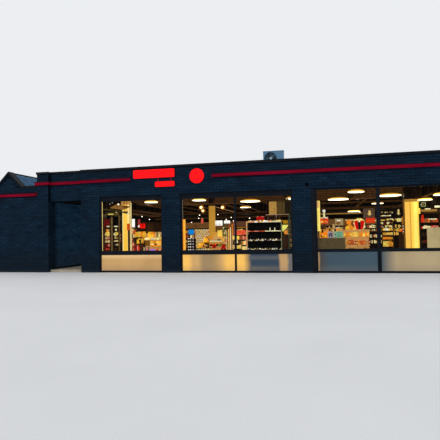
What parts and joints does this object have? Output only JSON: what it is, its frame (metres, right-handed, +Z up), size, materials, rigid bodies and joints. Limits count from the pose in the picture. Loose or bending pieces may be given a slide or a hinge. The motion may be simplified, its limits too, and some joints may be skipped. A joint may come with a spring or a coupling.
{
  "type": "supermarket building",
  "caption": "Single-storey flat-roofed supermarket in dark painted brick with large glazed shop windows, a red projecting band, an entrance porch and a gabled side wing.",
  "frame": {"origin": "middle of the building's whole box in plan, on the ground", "axes": "+X along the front to the right seen from outside, +Y from the front to the back, +Z up"},
  "size_m": [19.89, 14.14, 5.08],
  "materials": {
    "painted_brick": "painted brickwork, matt",
    "concrete": "trowelled",
    "roofing": "roofing membrane",
    "dark_metal": "satin",
    "red_metal": "satin",
    "slate": "slates",
    "porch_lining": "matt",
    "clear_glass": "clear",
    "frosted_glass": "frosted film",
    "pale_metal": "powder coated",
    "grey_rubber": "matt",
    "dark_plastic": "matt",
    "guard_wire": "coated wire",
    "lamp": "lit diffuser",
    "cream_paint": "satin",
    "rack_metal": "satin",
    "shelf_metal": "satin",
    "beige_board": "laminate"
  },
  "bodies": {
    "root": {"ac_bearers": "grey_rubber", "ac_case": "pale_metal", "ac_fan": "dark_plastic", "ac_fan_guard": "guard_wire", "back_wall": "painted_brick", "display_rack": "rack_metal", "dome_camera": "dark_plastic", "entrance_frame": "dark_metal", "entrance_glass": "clear_glass", "entrance_leaves": "dark_metal", "floor_slab": "concrete", "front_fascia": "painted_brick", "front_piers": "painted_brick", "hall_band": "red_metal", "hall_coping": "dark_metal", "inner_columns": "cream_paint", "lamp_rods": "dark_metal", "left_wall": "painted_brick", "pendant_lamps": "lamp", "porch_back_wall": "porch_lining", "porch_ceiling": "porch_lining", "porch_left_wall": "painted_brick", "porch_right_wall": "porch_lining", "portal_column": "painted_brick", "portal_fascia": "painted_brick", "right_wall": "painted_brick", "roof_deck": "roofing", "service_screen": "beige_board", "shelf_runs": "shelf_metal", "window_1_frame": "dark_metal", "window_2_frame": "dark_metal", "window_3_frame": "dark_metal", "window_3_trim": "dark_metal", "window_glass": "clear_glass", "window_head_panels": "dark_metal", "window_lower_panels": "frosted_glass", "wing_back_wall": "painted_brick", "wing_band": "red_metal", "wing_coping": "dark_metal", "wing_front_wall": "painted_brick", "wing_left_wall": "painted_brick", "wing_pitched_roof": "slate", "wing_ridge_cap": "dark_metal", "wing_roof_deck": "roofing"}
  },
  "joints": []
}
